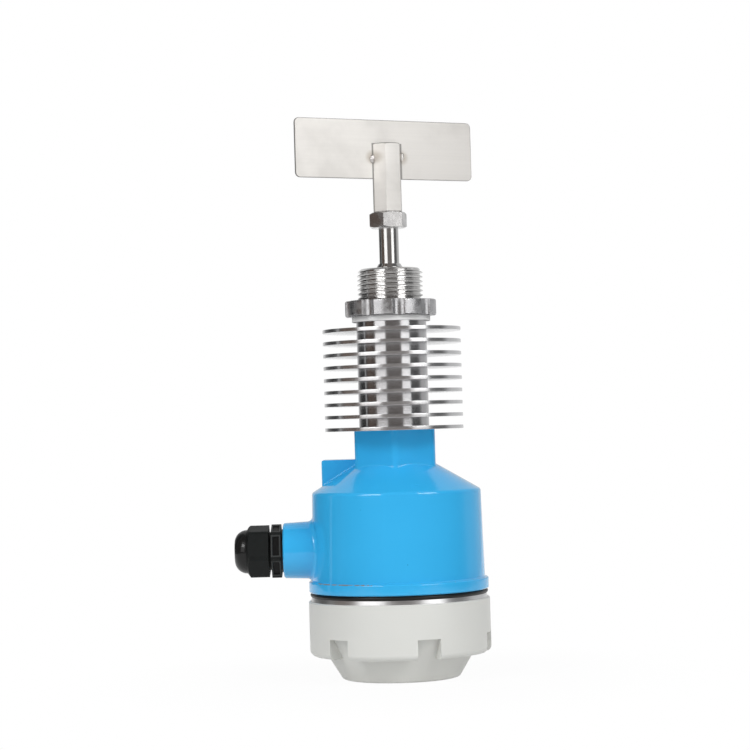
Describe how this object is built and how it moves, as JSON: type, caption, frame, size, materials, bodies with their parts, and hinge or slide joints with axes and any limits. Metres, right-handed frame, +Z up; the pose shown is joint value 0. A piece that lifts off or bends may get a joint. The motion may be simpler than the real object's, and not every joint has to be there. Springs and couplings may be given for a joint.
{
  "type": "rotary paddle level switch",
  "caption": "Rotary paddle level switch: screw-covered round housing, hexagonal neck, finned heat sink, threaded process connection with lock ring, and a flat paddle on a shaft.",
  "frame": {"origin": "centre of the cover's flat end face, on the drive axis", "axes": "+Z up the drive axis towards the paddle, -X out of the cable entry, +Y away from the viewer"},
  "size_m": [0.1282, 0.0916, 0.2822],
  "materials": {
    "grey_paint": "satin",
    "blue_paint": "gloss",
    "black_rubber": "matte",
    "black_nylon": "matte",
    "turned_aluminium": "polished",
    "white_gasket": "matte",
    "bright_steel": "satin",
    "plated_ring": "polished",
    "blade_steel": "satin",
    "bearing_steel": "polished",
    "spring_steel": "satin",
    "brass": "satin",
    "zinc_plate": "satin",
    "black_phenolic": "matte",
    "red_plastic": "gloss",
    "board_laminate": "satin",
    "cream_plastic": "satin"
  },
  "bodies": {
    "cover": {"cover": "grey_paint", "cover_o_ring": "black_rubber"},
    "housing": {"housing": "blue_paint", "earth_screw": "brass", "gland_body": "black_nylon", "gland_washer": "black_rubber", "gland_seal": "black_rubber", "heat_sink": "turned_aluminium", "cooling_fins": "turned_aluminium", "gasket": "white_gasket", "process_spigot": "bright_steel", "shaft_seal": "black_rubber", "bearing_outer_rings": "bearing_steel", "chassis_plate": "zinc_plate", "chassis_screws": "zinc_plate", "signal_switch": "black_phenolic", "motor_switch": "black_phenolic", "switch_screws": "zinc_plate", "spring_fixed_post": "zinc_plate", "stop_pin": "zinc_plate", "return_spring": "spring_steel", "standoffs": "brass", "terminal_board": "board_laminate", "board_screws": "zinc_plate", "terminal_block": "cream_plastic", "terminal_screws": "zinc_plate"},
    "dome_nut": {"gland_dome_nut": "black_nylon"},
    "lock_ring": {"lock_ring": "plated_ring"},
    "paddle": {"shaft": "bright_steel", "shaft_circlips": "spring_steel", "bearing_inner_rings": "bearing_steel", "slinger_ring": "bright_steel", "jam_nut": "bright_steel", "paddle_stem": "blade_steel", "paddle_blade": "blade_steel", "weld_beads": "blade_steel", "coupling_sleeve": "brass", "coupling_set_screws": "spring_steel", "motor_output_shaft": "bright_steel"},
    "bearing_cages": {"bearing_balls": "bearing_steel", "bearing_cages": "brass"},
    "motor_carrier": {"motor_can": "zinc_plate", "motor_gearbox": "zinc_plate", "motor_screws": "zinc_plate", "swing_plate": "zinc_plate", "spring_moving_post": "zinc_plate"},
    "signal_lever": {"signal_lever": "spring_steel"},
    "signal_plunger": {"signal_plunger": "red_plastic"},
    "motor_switch_lever": {"motor_switch_lever": "spring_steel"},
    "motor_switch_plunger": {"motor_switch_plunger": "red_plastic"}
  },
  "joints": [
    {"name": "cover_lift", "type": "slide", "parent": "cover", "child": "housing", "axis": [0, 0, 1], "range_m": [0, 0.06]},
    {"name": "paddle_spin", "type": "hinge", "parent": "housing", "child": "paddle", "pos_m": [0, 0, 0.2], "axis": [0, 0, 1], "continuous": true},
    {"name": "bearing_roll", "type": "hinge", "parent": "housing", "child": "bearing_cages", "pos_m": [0, 0, 0.11], "axis": [0, 0, 1], "continuous": true},
    {"name": "motor_swing", "type": "hinge", "parent": "housing", "child": "motor_carrier", "pos_m": [0, 0, 0.0835], "axis": [0, 0, 1], "range_deg": [0, 7], "stiffness_Nm_per_rad": 0.25, "springref_deg": -6.88, "deforming": ["return_spring"]},
    {"name": "signal_lever_press", "type": "hinge", "parent": "housing", "child": "signal_lever", "pos_m": [0.02817, 0.0071, 0.07202], "axis": [-1, 0, 0], "range_deg": [0, 15]},
    {"name": "motor_lever_press", "type": "hinge", "parent": "housing", "child": "motor_switch_lever", "pos_m": [-0.02817, -0.0071, 0.07202], "axis": [1, 0, 0], "range_deg": [0, 15]},
    {"name": "signal_plunger_press", "type": "slide", "parent": "housing", "child": "signal_plunger", "axis": [0, 1, 0], "range_m": [0, 0.0015]},
    {"name": "motor_plunger_press", "type": "slide", "parent": "housing", "child": "motor_switch_plunger", "axis": [0, -1, 0], "range_m": [0, 0.0015]},
    {"name": "lock_ring_travel", "type": "slide", "parent": "housing", "child": "lock_ring", "axis": [0, 0, 1], "range_m": [0, 0.012]},
    {"name": "gland_nut_turn", "type": "hinge", "parent": "housing", "child": "dome_nut", "pos_m": [-0.07, 0, 0.0654], "axis": [-1, 0, 0], "range_deg": [0, 720]}
  ],
  "couplings": [
    {"joint": "bearing_roll", "follows": "paddle_spin", "ratio": 0.39375},
    {"joint": "signal_lever_press", "follows": "motor_swing", "ratio": 2.1021},
    {"joint": "motor_lever_press", "follows": "motor_swing", "ratio": 2.1021},
    {"joint": "signal_plunger_press", "follows": "motor_swing", "m_per_rad": 0.011459},
    {"joint": "motor_plunger_press", "follows": "motor_swing", "m_per_rad": 0.011459}
  ]
}
